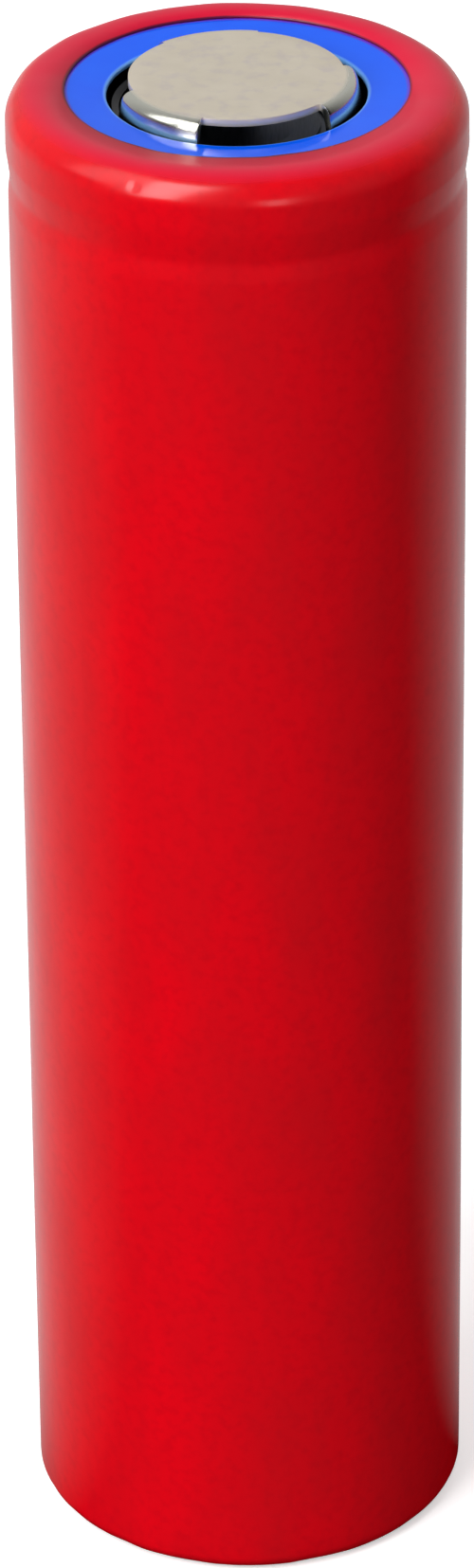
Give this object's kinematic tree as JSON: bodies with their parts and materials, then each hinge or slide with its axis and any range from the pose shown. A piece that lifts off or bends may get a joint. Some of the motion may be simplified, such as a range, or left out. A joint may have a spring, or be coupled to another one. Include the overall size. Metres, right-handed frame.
{
  "type": "cylindrical battery cell",
  "caption": "Cylindrical lithium-ion cell in a shrunk film sleeve, with a flat-top vented positive cap, a crimped steel can and a wound electrode roll inside.",
  "frame": {"origin": "centre of the negative contact face, on which the cell stands", "axes": "+Z along the cell towards the positive terminal; -Y faces the negative tab's side of the winding"},
  "size_m": [0.0184, 0.0184, 0.0653],
  "materials": {
    "red_shrink_film": "satin gloss shrunk film",
    "blue_insulator": "gloss",
    "nickel_plated_cap": "nickel-plated, drawn, satin",
    "nickel_plated_steel": "nickel-plated, drawn",
    "ptc_composite": "matte",
    "vent_aluminium": "rolled, satin",
    "aluminium_strip": "rolled, satin",
    "clear_insulator": "pale, satin",
    "gasket_plastic": "moulded, satin",
    "tape_film": "adhesive tape",
    "cathode_black": "matte black calendered coating",
    "anode_graphite": "matte graphite coating",
    "separator_white": "matte white porous film",
    "copper_foil": "rolled copper",
    "nickel_strip": "rolled nickel",
    "pin_steel": "rolled tube"
  },
  "bodies": {
    "root": {"shrink_sleeve": "red_shrink_film", "insulating_washer": "blue_insulator", "terminal_cap": "nickel_plated_cap", "ptc_ring": "ptc_composite", "vent_disc": "vent_aluminium", "vent_spacer": "clear_insulator", "tear_disc": "vent_aluminium", "filter_plate": "vent_aluminium", "crimp_gasket": "gasket_plastic", "steel_can": "nickel_plated_steel", "upper_insulator": "clear_insulator", "positive_tab": "aluminium_strip", "positive_tab_tape": "tape_film", "cathode_foil": "aluminium_strip", "cathode_coating": "cathode_black", "separator_inner": "separator_white", "separator_outer": "separator_white", "anode_foil": "copper_foil", "anode_coating": "anode_graphite", "negative_tab": "nickel_strip", "negative_tab_tape": "tape_film", "roll_end_tape": "tape_film", "lower_insulator": "clear_insulator", "centre_pin": "pin_steel"}
  },
  "joints": []
}
